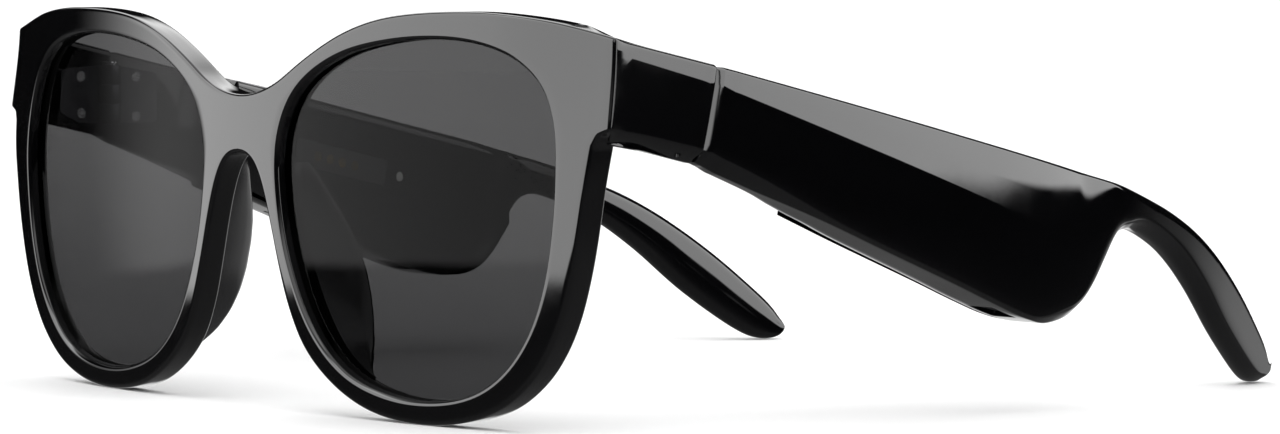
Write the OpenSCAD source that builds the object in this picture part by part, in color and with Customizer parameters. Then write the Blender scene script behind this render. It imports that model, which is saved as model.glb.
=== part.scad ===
// Smart glasses with open-ear speakers in both temples.
// Built in a front frame (x across, y back from the front face, z up) and a
// temple frame (x across, u back along the temple, v down from its top line).
// Both are seated so that the rims and the ear hooks stand on z = 0, with the
// front facing -Y, the wearer's left at +X and the origin under the middle.

/* [Front] */
// Radius of the front face in plan
front_r = 300; // [280:5:330]
// Depth of the rims from front to back
rim_depth = 4.2; // [4.0:0.1:5.0]
// Thickness of each lens
lens_t = 1.6; // [1.4:0.1:1.7]
// Distance of the lens behind the front face
lens_set = 1.6; // [1.4:0.1:1.7]
// How far the lens edge goes into its groove
groove_d = 0.9; // [0.7:0.1:1.0]
// How far the nose pads stand behind the rims
pad_depth = 7.8; // [7:0.2:8.4]

/* [Stance] */
// Downward slope of the temples against the front, degrees
slope = 12.75; // [12.75:0.05:12.8]
// Forward lean of the front when it stands on a table, degrees
lean = 1; // [0.9:0.05:1.05]

/* [Temples] */
// Wall of the temple housings
wall = 1.3; // [1.1:0.1:1.5]
// Parting plane between the outer shell and the inner cover, from the middle
part_x = 63.5; // [63.2:0.1:64]
// Back end of the front's side arm, along the temple
seam_u = 20.5; // [20.4:0.1:20.6]

/* [Hinge] */
// Distance of the hinge axis from the middle
hinge_x = 64.8; // [64.7:0.05:64.9]
// Outside diameter of the knuckles
barrel_d = 3.4; // [3.2:0.1:3.5]
// Diameter of the hinge pin
pin_d = 1.4; // [1.2:0.1:1.6]
// Radial running clearance of the pin in the temple knuckle
pin_play = 0.05; // [0.02:0.01:0.08]
// Gap between neighbouring knuckles and at the seam
knuckle_gap = 0.1; // [0.08:0.02:0.16]

/* [Electronics] */
// Diameter of the speaker driver
speaker_d = 14; // [12:0.5:14.5]
// Length of the battery cell
battery_l = 28; // [24:1:28]
// Height of the battery cell
battery_h = 10; // [8:0.5:10]
// Diameter of one charging contact
contact_d = 1.6; // [1.2:0.1:1.8]
// Spacing of the charging contacts
contact_pitch = 2.6; // [2.4:0.1:3]

/* [Button] */
// Length of the function button
button_l = 9; // [7:0.5:10]
// Width of the function button
button_w = 3.2; // [2.8:0.1:3.6]
// Travel of the function button
button_travel = 0.3; // [0.2:0.05:0.3]

/* [Hidden] */
$fn = 48;

top_h = 30.2;          // height of the temple's top line over the nose level
stand_h = 24.58;       // lift of the nose level over the table
mid_y = 80.85;         // middle of the depth
hinge_u = seam_u - 0.1;
barrel_r = barrel_d/2;
leaf_x0 = 65.4;        // leaf plates, inner side
leaf_x1 = 66.6;        // leaf plates, against the arm and the temple
hinge_v = -7;          // middle of the hinge, below the temple's top line
kz = [-4.5, -1.5, 1.5, 4.5];     // knuckle levels along the upright hinge axis
g2 = knuckle_gap/2;

// ---- curves -------------------------------------------------------------
function cr(a,b,c,d,t) = 0.5*(2*b + (c-a)*t + (2*a-5*b+4*c-d)*t*t + (3*b-a-3*c+d)*t*t*t);
// closed curve through P, n steps a span
function ring(P,n) = let(N=len(P)) [for(i=[0:N-1]) for(j=[0:n-1])
  cr(P[(i+N-1)%N],P[i],P[(i+1)%N],P[(i+2)%N],j/n)];
// open curve through P, n steps a span
function run(P,n) = let(N=len(P)) concat([for(i=[0:N-2]) for(j=[0:n-1])
  cr(P[max(i-1,0)],P[i],P[i+1],P[min(i+2,N-1)],j/n)], [P[N-1]]);
// closed curve moved outwards by d (clockwise points)
function grow(P,d) = let(N=len(P)) [for(i=[0:N-1])
  let(t=P[(i+1)%N]-P[(i+N-1)%N]) P[i]+d*[-t[1],t[0]]/norm(t)];
function rev(P) = [for(i=[len(P)-1:-1:0]) P[i]];
function flip(P) = [for(p=P) [-p[0],p[1]]];
// both sides of an open strip of half width w along the curve P
function strip(P,w) = let(N=len(P),
  nn=[for(i=[0:N-1]) let(t=P[min(i+1,N-1)]-P[max(i-1,0)]) [-t[1],t[0]]/norm(t)])
  concat([for(i=[0:N-1]) P[i]+w*nn[i]], [for(i=[N-1:-1:0]) P[i]-w*nn[i]]);

// ---- outlines -----------------------------------------------------------
// lens opening, clockwise from the top
opening = [[41,28.2],[48.6,27.3],[54.2,25.2],[58,21.6],[60,16.4],[60.5,9.8],
  [60,3],[58.7,-4],[56.2,-10.5],[52,-16],[46.4,-19.6],[39,-21.2],
  [30.5,-20.9],[22,-18.2],[15.6,-12.4],[11.3,-4],[9.1,4.6],[8.8,13.2],
  [12.4,20.6],[20.7,25.5],[31,27.7]];
// top of the front from the middle to the corner
brow = [[0,19.9],[4.4,20.6],[8.4,22.2],[12,24.5],[17,27.2],[22,29.3],
  [28,30.8],[34.5,31.65],[42,32],[49,31.9],[57,31.1],[63,29.95],[68.4,28.6]];
// step below the corner
step = [[68.9,16.6],[67.6,16.1],[66.5,15]];
// outside of the rim, down, round and up to the nose arch
rimline = [[66.5,15],[66.1,11.6],[65.3,6.6],[64.4,1.2],[63.2,-4],[61.6,-9],
  [59.3,-13.6],[56,-17.8],[50.8,-21.6],[44,-23.9],[36.6,-24.65],[29.6,-24.1],
  [23.8,-22.5],[18.3,-19.5],[13.7,-15.3],[10.7,-9.9],[8.75,-4.2],[7.1,1.6],
  [5.4,6.8],[3.6,10.2],[1.9,11.5],[0,11.8]];
half = concat(run(brow,3), step, run(rimline,3));
outline = concat(half, rev(flip(half)));
hole = ring(opening,3);

// temple seen from the side: top edge, ear hook tip, bottom edge
t_top = [[97,0],[107,0],[116,-0.4],[124,-1.3],[132,-2.9],[140,-5.5],
  [148.5,-9.1],[156,-13],[161.4,-16.3]];
t_tip = [[161.4,-16.4],[163,-18.2],[162.9,-20.3],[161.2,-21.7],[158.8,-21.8]];
t_low = [[158.8,-21.8],[151.8,-20],[143,-16.2],[134,-11.4],[126,-8],
  [119,-6.2],[112.5,-5.4],[109,-5.9],[107,-7.8]];
t_heel = [[107,-7.8],[104.4,-13.2],[102,-17.8],[98.9,-21],[93.6,-22.9],[87.5,-23]];
t_side = concat([[seam_u+knuckle_gap,0]], run(t_top,2), run(t_tip,2),
  run(t_low,2), run(t_heel,2), [[72,-20.9],[55,-18.5],[38.6,-16],[seam_u+knuckle_gap,-13.6]]);
// temple seen from above: outer and inner face
t_out = [[71,20.6],[71.7,30],[72.3,40],[72.8,52],[73,64],[73,80],[72.6,90],
  [71.8,98],[70.6,106],[68.6,116],[65.6,130],[63.2,140],[60.5,150],[58.2,158],[56.4,164]];
t_in = [[52.2,164],[53.8,158],[56,150],[58.6,140],[60.9,130],[62.6,122],
  [64,113],[64.3,107],[63.2,102],[61.7,97],[61,92]];
t_in2 = [[61,52],[61.3,48],[62.6,43],[65,38.4],[66.3,34.6],[66.6,31.6],[66.6,20.6]];
t_plan = concat(run(t_out,2), run(t_in,2), run(t_in2,2));
// hollow of the temple
c_side = [[34,-wall],[98,-wall],[103.8,-3],[104.4,-6.4],[102,-11.4],[99.6,-16.4],[97,-19.2],
  [92.6,-21.2],[87.5,-23+wall],[72,-20.9+wall],[55,-18.5+wall],[38.6,-16+wall],[34,-15.4+wall]];
c_plan = [[70.4,34],[70.9,40],[71.5-0.1,52],[73-wall,64],[73-wall,80],[71.2,90],
  [70.2,99],[69.4,104],[66.2,104],[63.4,98],[61+wall-0.1,92],[61+wall-0.1,52],
  [62.6+0.3,48],[64.2,43],[66.4,38],[67.4,34]];
// path of the flex in the brow: it stays inside the rim wall and the bridge
flex_path = [[0,15.9],[4,16.6],[7.3,19.3],[10.9,22.25],[15.5,25],[21,27.35],
  [28,29.15],[35,29.9],[42,30],[49,29.4],[55,28],[60,25.9],[64,23.6],[67.9,21.6]];
flex_half = run(flex_path,2);

// ---- placing ------------------------------------------------------------
module seat() translate([0,-mid_y,stand_h]) rotate([lean,0,0]) children();
module side_of(s) mirror([s<0?1:0,0,0]) children();
// temple frame: children use (x, u, v)
module on_temple(s) seat() side_of(s) rotate([-slope,0,0]) translate([0,0,top_h]) children();
// temple frame inside the front frame, for the arms
module arm_frame(s) side_of(s) rotate([-slope,0,0]) translate([0,0,top_h]) children();
// (x,z) outline pushed back along y
module deep(y0,y1) translate([0,y1,0]) rotate([90,0,0]) linear_extrude(y1-y0) children();
// (u,v) outline pushed across along x
module across(x0,x1) translate([x0,0,0]) rotate([90,0,90]) linear_extrude(x1-x0) children();
// curved layer of the front, from a to b behind its face
module layer(a,b) translate([0,front_r,-40]) difference() {
  cylinder(r=front_r-a, h=90, $fn=360);
  translate([0,0,-1]) cylinder(r=front_r-b, h=92, $fn=360);
}
module behind(a) translate([0,front_r,-40]) cylinder(r=front_r-a, h=90, $fn=360);
// hinge frame: on the hinge axis, which stands upright in the front frame
module hinge_frame() translate([hinge_x,hinge_u,hinge_v]) rotate([slope,0,0]) children();
// hole or pin along x at (u,v)
module xpin(x0,x1,u,v,d) translate([x0,u,v]) rotate([0,90,0]) cylinder(d=d, h=x1-x0);

// ---- screws of the hinge leaves, (y, z) in the hinge frame ---------------
front_screw_yz = [[-5,2.8],[-5,-2.9]];
temple_screw_yz = [[5.4,2.6],[5.4,-3.6]];
module leaf_screw(p) {
  xpin(leaf_x0-hinge_x, leaf_x0-hinge_x+0.5, p[0], p[1], 1.6);
  xpin(leaf_x0-hinge_x+0.5, 68.6-hinge_x, p[0], p[1], 1.0);
}
module leaf_screw_hole(p) {
  xpin(leaf_x0-hinge_x-1, leaf_x0-hinge_x+0.5, p[0], p[1], 1.6);
  xpin(leaf_x0-hinge_x, 68.6-hinge_x, p[0], p[1], 1.0);
}

// ---- front ---------------------------------------------------------------
module flex_room(grow_w, y0, y1) {
  intersection() {
    deep(-1,20) polygon(concat(strip(flex_half,0.65+grow_w)));
    layer(y0,y1);
  }
}
module arm_block(s) intersection() {
  behind(0);
  arm_frame(s) intersection() {
    across(60,73) polygon([[2,0],[seam_u,0],[seam_u,-13.55],[12,-13.5],[7,-13.8],[2,-14]]);
    translate([0,0,-20]) linear_extrude(40) polygon([[68.2,2],[68.4,4],[69.3,9],[70.3,15],
      [71,seam_u],[leaf_x1,seam_u],[leaf_x1,10.2],[65.7,8.8],[64,7.8],[61,7.2],[61,2]]);
  }
}
module front_frame() color([0.05,0.05,0.055]) seat() difference() {
  union() {
    intersection() {
      deep(-1,20) polygon(outline);
      layer(0,rim_depth);
    }
    for (s=[-1,1]) arm_block(s);
  }
  for (s=[-1,1]) {
    side_of(s) deep(-2,25) polygon(hole);
    side_of(s) intersection() {
      deep(-1,20) polygon(grow(hole,groove_d+0.1));
      layer(lens_set-0.05, lens_set+lens_t+0.05);
    }
    side_of(s) flex_room(0.15, 2.2, 2.6);
    arm_frame(s) translate([67.55,4.6,-8.35]) cube([0.5,seam_u,1.7]);
    arm_frame(s) hinge_frame() for (p=front_screw_yz) leaf_screw_hole(p);
    // small blind dimple under the arm by the seam
    arm_frame(s) translate([69,17.6,-14]) cylinder(d=0.9, h=1.6, $fn=24);
  }
}
module lens(s) color([0.2,0.2,0.21,0.75]) seat() side_of(s) intersection() {
  deep(-1,20) polygon(grow(hole,groove_d));
  layer(lens_set, lens_set+lens_t);
}
// nose pad: follows the nasal side of the rim and turns outwards to the back
module nose_pad(s) color([0.06,0.06,0.065]) seat() side_of(s) intersection() {
  behind(rim_depth);
  // side of the pad: shallow at its top and bottom, deepest in the middle
  across(0,40) translate([rim_depth,0]) scale([pad_depth,1])
    polygon(run([[-0.3,10.6],[0.38,10.4],[0.58,7],[0.77,4],[0.91,1],[0.98,-2],[1,-5.4],
      [0.96,-8.8],[0.86,-12],[0.7,-15],[0.46,-17.6],[0.18,-19.4],[-0.3,-20.4]],2));
  translate([8,rim_depth,0]) rotate([0,0,-18]) translate([-8,-rim_depth,0])
    deep(0,rim_depth+12) polygon(concat(
      run([[4.6,11],[6.1,6.6],[7.7,2],[9.4,-3],[11.4,-8.6],[14,-13.2],[17.2,-16.4],[20,-18.4]],2),
      run([[21.8,-17.7],[18.6,-14.4],[15.6,-9.4],[13,-4],[11,1.6],[9.5,6.4],[8.8,11]],2)));
}
module front_flex() color([0.75,0.45,0.1]) seat() for (s=[-1,1]) {
  side_of(s) flex_room(0, 2.3, 2.5);
  arm_frame(s) translate([67.7,4.9,-8.2]) cube([0.2,seam_u-5.1,1.4]);
}

module front_screws() color([0.6,0.6,0.62]) for (s=[-1,1]) on_temple(s)
  hinge_frame() for (p=front_screw_yz) leaf_screw(p);

// ---- hinge, in the hinge frame ---------------------------------------------
module knuckle(a,b,bore) translate([0,0,a]) difference() {
  cylinder(r=barrel_r, h=b-a);
  translate([0,0,-1]) cylinder(d=bore, h=b-a+2);
}
plate_x0 = leaf_x0-hinge_x;
plate_x1 = leaf_x1-hinge_x;
module hinge_front(s) color([0.08,0.08,0.085]) on_temple(s) hinge_frame() difference() {
  union() {
    knuckle(kz[0], kz[1]-g2, pin_d);
    knuckle(kz[2]+g2, kz[3], pin_d);
    // leaf with round corners; its lower edge rises to stay above the arm's
    across(plate_x0,plate_x1) offset(r=0.7) offset(delta=-0.7)
      polygon([[-9,-2.6],[-9,4],[-1.9,kz[3]-0.1],[-1.9,kz[0]-0.1],[-5.4,-4.4]]);
    for (z=[[kz[0],kz[1]-g2],[kz[2]+g2,kz[3]]]) difference() {
      translate([plate_x0,-2.4,z[0]]) cube([plate_x1-plate_x0-0.1, 2.4, z[1]-z[0]]);
      translate([0,0,z[0]-1]) cylinder(d=pin_d, h=6);
    }
  }
  for (p=front_screw_yz) leaf_screw_hole(p);
}
module hinge_temple(s) color([0.08,0.08,0.085]) on_temple(s) hinge_frame() difference() {
  union() {
    knuckle(kz[1]+g2, kz[2]-g2, pin_d+2*pin_play);
    across(plate_x0,plate_x1) offset(r=0.7) offset(delta=-0.7)
      polygon([[9.4,kz[0]-0.1],[2,kz[0]-0.1],[2,kz[3]-0.1],[9.4,3.2]]);
    difference() {
      translate([plate_x0,0,kz[1]+g2]) cube([plate_x1-plate_x0-0.1, 3, kz[2]-kz[1]-2*g2]);
      translate([0,0,kz[1]-1]) cylinder(d=pin_d+2*pin_play, h=6);
    }
  }
  for (p=temple_screw_yz) leaf_screw_hole(p);
}
module hinge_pin(s) color([0.6,0.6,0.62]) on_temple(s) hinge_frame() difference() {
  union() {
    translate([0,0,kz[0]]) cylinder(d=pin_d, h=kz[3]-kz[0]);
    translate([0,0,kz[3]]) cylinder(d=2.4, h=0.6);
  }
  translate([-1.5,-0.15,kz[3]+0.35]) cube([3,0.3,1]);
}

// ---- temples ---------------------------------------------------------------
module temple_block() intersection() {
  across(50,75) polygon(t_side);
  translate([0,0,-30]) linear_extrude(35) polygon(t_plan);
}
module temple_hollow() intersection() {
  across(50,75) polygon(c_side);
  translate([0,0,-30]) linear_extrude(35) polygon(c_plan);
}
// pocket of the inner cover
module cover_zone() translate([50,38,-30]) cube([part_x-50,68,40]);
// openings that both temples share
speaker_slot = [82.4,87.8];
module temple_cuts() {
  // slot of the speaker, through the bottom wall, with a seat for its grille
  translate([65.4,speaker_slot[0],-24]) cube([4.6,speaker_slot[1]-speaker_slot[0],4.6]);
  // slot of the rear vent, through the top wall
  translate([66.2,84,-3]) cube([2,8,5]);
  // flex passage to the seam
  translate([67.5,20,-8.35]) cube([0.6,15,1.7]);
  hinge_frame() for (p=temple_screw_yz) leaf_screw_hole(p);
}
button_uv = [46,-17.5];          // middle of the button on the bottom face
button_tilt = -7.7;              // slope of the bottom face
module on_button(s) on_temple(s) translate([68,button_uv[0],button_uv[1]]) rotate([button_tilt,0,0]) children();
module pill(l,w,h) linear_extrude(h) {
  square([w,l-w],center=true);
  for (e=[-1,1]) translate([0,e*(l-w)/2]) circle(d=w);
}
mic_uv = [[33.6,-15.13],[58,-18.72]];
port_u = 64;                     // middle of the charging port
contact_u = [for(i=[-1.5:1:1.5]) port_u+i*contact_pitch];
contact_v = -9;
magnet_u = [port_u-1.5*contact_pitch-4.2, port_u+1.5*contact_pitch+4.2];
light_u = 77.6;

module temple_shell(s) color([0.05,0.05,0.055]) difference() {
  on_temple(s) difference() {
    temple_block();
    temple_hollow();
    cover_zone();
    temple_cuts();
  }
  if (s<0) {
    on_button(s) translate([0,0,-3]) pill(button_l+0.3, button_w+0.3, 8);
    on_temple(s) for (m=mic_uv) translate([69.4,m[0],m[1]-1.5]) {
      cylinder(d=1.0, h=5, $fn=24);
      cylinder(d=1.8, h=1.9, $fn=24);
    }
  }
}
module temple_cover(s) color([0.05,0.05,0.055]) on_temple(s) difference() {
  intersection() { temple_block(); cover_zone(); }
  temple_hollow();
  if (s<0) {
    // seat of the charging contacts and the status light
    translate([60,port_u-10.6,contact_v-2.2]) cube([3,21.2,4.4]);
    xpin(60,64,light_u,contact_v,1.6);
  }
}
module temple_screws(s) color([0.6,0.6,0.62]) on_temple(s)
  hinge_frame() for (p=temple_screw_yz) leaf_screw(p);
module speaker(s) color([0.3,0.3,0.32]) on_temple(s) translate([64,87.5,-11.6]) rotate([0,90,0]) difference() {
  union() {
    cylinder(d=speaker_d, h=3.2);
    cylinder(d=speaker_d-4, h=5.2);
  }
  // bowl under the diaphragm
  translate([0,0,-1]) cylinder(d=speaker_d-1.6, h=1.9);
  translate([0,0,0.5]) cylinder(d1=speaker_d-2, d2=7, h=1.6);
}
module diaphragm(s) color([0.12,0.12,0.14]) on_temple(s) translate([64,87.5,-11.6]) rotate([0,90,0]) {
  translate([0,0,0.55]) cylinder(d=speaker_d-1.8, h=0.3);
  translate([0,0,0.2]) cylinder(d1=5, d2=6.4, h=0.36);
}
module speaker_grille(s) color([0.1,0.1,0.1]) on_temple(s) difference() {
  // plate that fills the slot, just inside the bottom face
  translate([65.45,speaker_slot[0]+0.05,-22.2]) cube([4.5,speaker_slot[1]-speaker_slot[0]-0.1,0.4]);
  for (i=[0:5]) for (j=[0:4]) translate([65.45+0.55+j*0.85,speaker_slot[0]+0.55+i*0.86,-23]) cylinder(d=0.5, h=2, $fn=16);
}
module vent_mesh(s) color([0.1,0.1,0.1]) on_temple(s) difference() {
  translate([66.25,84.05,-0.7]) cube([1.9,7.9,0.3]);
  for (i=[0:8]) for (j=[0:1]) translate([66.25+0.5+j*0.9,84.05+0.5+i*0.86,-1]) cylinder(d=0.5, h=2, $fn=16);
}
module battery(s) color([0.7,0.7,0.72]) on_temple(s) union() {
  translate([62.9,50.2,-3-battery_h]) cube([4.2,battery_l,battery_h]);
  translate([63.3,50.2+battery_l,-3-battery_h+1]) cube([3.4,1.2,battery_h-2]);
}
module temple_flex(s) color([0.75,0.45,0.1]) on_temple(s) union() {
  translate([67.7,seam_u+0.3,-8.2]) cube([0.2,s<0?19.6:59,1.4]);
  if (s>0) translate([67.7,48,-14]) cube([0.2,10,6]);
}
module main_board() color([0.1,0.3,0.18]) on_temple(-1) union() {
  translate([68.1,35.6,-13.6]) cube([0.8,40,11.4]);
  translate([68.9,48,-11]) cube([1,8,8]);
  translate([68.9,60,-9]) cube([0.9,6,6]);
  translate([68.9,68.4,-12]) cube([0.8,5,7]);
  translate([67.3,41.3,-9]) cube([0.8,3,3]);
}
module charge_carrier() color([0.08,0.08,0.085]) on_temple(-1) difference() {
  translate([61,port_u-10.5,contact_v-2.1]) cube([1.7,21,4.2]);
  for (u=contact_u) xpin(60,63,u,contact_v,contact_d);
  for (u=magnet_u) xpin(61.4,63,u,contact_v,3);
}
module charge_contacts() color([0.85,0.7,0.3]) on_temple(-1)
  for (u=contact_u) xpin(61.1,62.8,u,contact_v,contact_d);
module charge_magnets() color([0.7,0.7,0.72]) on_temple(-1)
  for (u=magnet_u) xpin(61.4,62.8,u,contact_v,3);
module status_light() color([0.9,0.9,0.9]) on_temple(-1) union() {
  xpin(61.05,62.4,light_u,contact_v,1.5);
}
module mic_meshes() color([0.12,0.12,0.12]) on_temple(-1) for (m=mic_uv)
  translate([69.4,m[0],m[1]+0.08]) cylinder(d=1.7, h=0.3, $fn=24);
module microphones() color([0.6,0.6,0.5]) on_temple(-1) for (m=[[37,-14.4],[58,-17.5]])
  translate([68.2,m[0],m[1]]) cube([2,2.6,0.75]);
module tact_switch() color([0.5,0.5,0.52]) on_button(-1) translate([-1.6,-1.9,1.7]) cube([3.2,3.8,1]);
module function_button() color([0.07,0.07,0.075]) on_button(-1) union() {
  translate([0,0,-0.6]) pill(button_l, button_w, 1.5);
  translate([0,0,0.9]) cylinder(d=1.4, h=0.45);
}

front_frame();
lens(1);  // lens_left
lens(-1);  // lens_right
nose_pad(1);  // nose_pad_left
nose_pad(-1);  // nose_pad_right
front_flex();
hinge_front(1);  // hinge_front_left
hinge_front(-1);  // hinge_front_right
hinge_pin(1);  // hinge_pin_left
hinge_pin(-1);  // hinge_pin_right
front_screws();
temple_shell(1);  // temple_shell_left
temple_cover(1);  // temple_cover_left
hinge_temple(1);  // hinge_temple_left
temple_screws(1);  // temple_screws_left
speaker(1);  // speaker_left
diaphragm(1);  // diaphragm_left
speaker_grille(1);  // speaker_grille_left
vent_mesh(1);  // vent_mesh_left
battery(1);  // battery_left
temple_flex(1);  // temple_flex_left
temple_shell(-1);  // temple_shell_right
temple_cover(-1);  // temple_cover_right
hinge_temple(-1);  // hinge_temple_right
temple_screws(-1);  // temple_screws_right
speaker(-1);  // speaker_right
diaphragm(-1);  // diaphragm_right
speaker_grille(-1);  // speaker_grille_right
vent_mesh(-1);  // vent_mesh_right
battery(-1);  // battery_right
temple_flex(-1);  // temple_flex_right
main_board();
charge_contacts();
charge_carrier();
charge_magnets();
mic_meshes();
microphones();
status_light();
tact_switch();
function_button();
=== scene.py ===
# Smart glasses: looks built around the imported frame. Millimetres inside the helpers, metres in the meshes.
import math

import bpy
import bmesh
import numpy as np
from mathutils import Matrix, Vector


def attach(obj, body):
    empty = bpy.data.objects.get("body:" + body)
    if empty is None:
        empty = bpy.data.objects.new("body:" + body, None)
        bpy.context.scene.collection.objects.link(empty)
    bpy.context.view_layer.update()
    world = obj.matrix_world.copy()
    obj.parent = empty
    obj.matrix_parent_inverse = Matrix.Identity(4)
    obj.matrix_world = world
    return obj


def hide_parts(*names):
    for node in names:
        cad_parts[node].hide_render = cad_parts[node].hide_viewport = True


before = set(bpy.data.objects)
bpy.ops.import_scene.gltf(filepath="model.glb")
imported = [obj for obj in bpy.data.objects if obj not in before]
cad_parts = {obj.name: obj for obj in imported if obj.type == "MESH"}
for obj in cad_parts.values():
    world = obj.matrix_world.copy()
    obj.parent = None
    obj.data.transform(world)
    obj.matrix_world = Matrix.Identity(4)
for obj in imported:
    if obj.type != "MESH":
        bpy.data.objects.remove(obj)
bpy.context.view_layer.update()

# ------------------------------------------------------------------ frames of reference
SLOPE, LEAN = math.radians(12.75), math.radians(1.0)
TOP_H, STAND_H, MID_Y = 30.2, 24.58, 80.85
SEAM_U = 20.5
FRONT_R = 300.0
RIM_D = 4.2
PART_X = 63.5


def row(p):
    """front frame (x, y, z) in mm to the row frame in metres."""
    p = np.asarray(p, float)
    c, s = math.cos(LEAN), math.sin(LEAN)
    y = p[..., 1] * c - p[..., 2] * s - MID_Y
    z = p[..., 1] * s + p[..., 2] * c + STAND_H
    return np.stack([p[..., 0], y, z], -1) / 1000.0


def t2f(p):
    """temple frame (x, u, v) to the front frame."""
    p = np.asarray(p, float)
    c, s = math.cos(SLOPE), math.sin(SLOPE)
    u, z = p[..., 1], p[..., 2] + TOP_H
    return np.stack([p[..., 0], u * c + z * s, -u * s + z * c], -1)


def f2t(p):
    p = np.asarray(p, float)
    c, s = math.cos(SLOPE), math.sin(SLOPE)
    y, z = p[..., 1], p[..., 2]
    return np.stack([p[..., 0], y * c - z * s, y * s + z * c - TOP_H], -1)


def face_y(x, z):
    """depth of the front's outer face."""
    x, z = np.asarray(x, float), np.asarray(z, float)
    sx = np.clip((np.abs(x) - 50.0) / 19.0, 0, 1)
    sz = np.clip((z - 8.0) / 20.0, 0, 1)
    sweep = 1.6 * sx * sx * (3 - 2 * sx) * sz * sz * (3 - 2 * sz)      # the upper corners sweep back a little
    return FRONT_R - np.sqrt(FRONT_R ** 2 - x ** 2) + 0.7 * ((z - 6.0) / 25.0) ** 2 + sweep


# ------------------------------------------------------------------ curves
def arclen(P):
    d = np.sqrt((np.diff(P, axis=0) ** 2).sum(1))
    return np.concatenate([[0], np.cumsum(d)])


def resample(P, n):
    s = arclen(P)
    t = np.linspace(0, s[-1], n)
    return np.stack([np.interp(t, s, P[:, i]) for i in range(P.shape[1])], -1)


def catmull(P, n, closed):
    P = np.asarray(P, float)
    N = len(P)
    out = []
    spans = N if closed else N - 1
    t = np.arange(n)[:, None] / n
    for i in range(spans):
        if closed:
            a, b, c, d = P[(i - 1) % N], P[i], P[(i + 1) % N], P[(i + 2) % N]
        else:
            a, b, c, d = P[max(i - 1, 0)], P[i], P[i + 1], P[min(i + 2, N - 1)]
        out.append(0.5 * (2 * b + (c - a) * t + (2 * a - 5 * b + 4 * c - d) * t ** 2 + (3 * b - a - 3 * c + d) * t ** 3))
    if not closed:
        out.append(P[-1:])
    return np.concatenate(out)


def soften(P, sigma, closed):
    """gaussian smoothing along the curve, sigma in mm, on evenly spaced points."""
    h = arclen(P)[1]
    k = max(1, int(4 * sigma / h))
    w = np.exp(-0.5 * (np.arange(-k, k + 1) * h / sigma) ** 2)
    w /= w.sum()
    if closed:
        Q = np.concatenate([P[-k:], P, P[:k]])
    else:
        Q = np.concatenate([2 * P[0] - P[k:0:-1], P, 2 * P[-1] - P[-2:-k - 2:-1]])
    return np.stack([np.convolve(Q[:, i], w, "valid") for i in range(P.shape[1])], -1)


def closed_curve(P, sigma=1.6, n=900):
    C = catmull(P, 16, True)
    C = resample(np.concatenate([C, C[:1]]), n + 1)[:-1]
    return soften(C, sigma, True)


def open_curve(P, sigma=1.6, n=500):
    return soften(resample(catmull(P, 16, False), n), sigma, False)


def normals(P, closed):
    """unit normals to the left of the direction of travel (outwards on a clockwise outline)."""
    if closed:
        t = np.roll(P, -1, 0) - np.roll(P, 1, 0)
    else:
        t = np.gradient(P, axis=0)
    t /= np.linalg.norm(t, axis=1)[:, None]
    return np.stack([-t[:, 1], t[:, 0]], -1)


def fillet(a, c, b, r, n=7):
    """points of a round corner of radius r at c between directions a-c and b-c."""
    a, b, c = map(lambda q: np.asarray(q, float), (a, b, c))
    d1, d2 = (a - c) / np.linalg.norm(a - c), (b - c) / np.linalg.norm(b - c)
    half = math.acos(max(-1, min(1, float(d1 @ d2)))) / 2
    L = r / math.tan(half)
    p1, p2 = c + d1 * L, c + d2 * L
    m = c + (d1 + d2) / np.linalg.norm(d1 + d2) * (r / math.sin(half))
    v1, v2 = p1 - m, p2 - m
    ang = math.acos(max(-1, min(1, float(v1 @ v2) / r ** 2)))
    out = []
    for i in range(n):
        t = i / (n - 1)
        out.append(m + (math.sin((1 - t) * ang) * v1 + math.sin(t * ang) * v2) / math.sin(ang))
    return np.array(out)


# ------------------------------------------------------------------ outlines
opening = closed_curve([(41, 28.2), (48.6, 27.3), (54.2, 25.2), (58, 21.6), (60, 16.4), (60.5, 9.8), (60, 3),
                        (58.7, -4), (56.2, -10.5), (52, -16), (46.4, -19.6), (39, -21.2), (30.5, -20.9), (22, -18.2),
                        (15.6, -12.4), (11.3, -4), (9.1, 4.6), (8.8, 13.2), (12.4, 20.6), (20.7, 25.5), (31, 27.7)])
brow = open_curve([(-8.4, 22.0), (-4.4, 20.5), (0, 19.9), (4.4, 20.5), (8.4, 22.0), (12, 24.2), (17, 26.9), (22, 29.1), (28, 30.8),
                   (34.5, 31.65), (42, 32.0), (49, 31.9), (57, 31.1), (63, 29.95), (68.5, 28.6)])
brow = brow[np.argmin(np.abs(brow[:, 0])):]
brow[0, 0] = 0.0
rimline = open_curve([(66.5, 15), (66.1, 11.6), (65.3, 6.6), (64.4, 1.2), (63.2, -4), (61.6, -9), (59.3, -13.6), (56, -17.8),
                      (50.8, -21.6), (44, -23.9), (36.6, -24.65), (29.6, -24.1), (23.8, -22.5), (18.3, -19.5), (13.7, -15.3),
                      (10.7, -9.9), (8.75, -4.2), (7.1, 1.6), (5.4, 6.8), (3.6, 10.2), (1.9, 11.5), (0, 11.8), (-1.9, 11.5), (-3.6, 10.2)], 1.2)
rimline = rimline[:np.argmin(np.abs(rimline[:, 0])) + 1]
rimline[-1, 0] = 0.0
A, B, C1 = (68.5, 28.6), (68.9, 16.4), (66.5, 15.0)
fA = fillet(brow[-30], A, B, 0.6, 9)
fB = fillet(A, B, (67.2, 15.7), 0.7, 7)
keep = brow[:, 0] < fA[0, 0] - 0.3
step = fillet(fB[-1], (66.9, 15.6), rimline[40], 0.9, 9)
low = rimline[rimline[:, 1] < step[-1, 1] - 0.2]
outer = np.concatenate([brow[keep], fA, fB, step, low])
outer = resample(outer, 1600)
outer[0], outer[-1] = (0, outer[0, 1]), (0, outer[-1, 1])
outer_n = normals(outer, False)
outer_n[0], outer_n[-1] = (0, 1), (0, -1)
kk = 5   # light smoothing of the normals so that offsets stay clean
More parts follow.
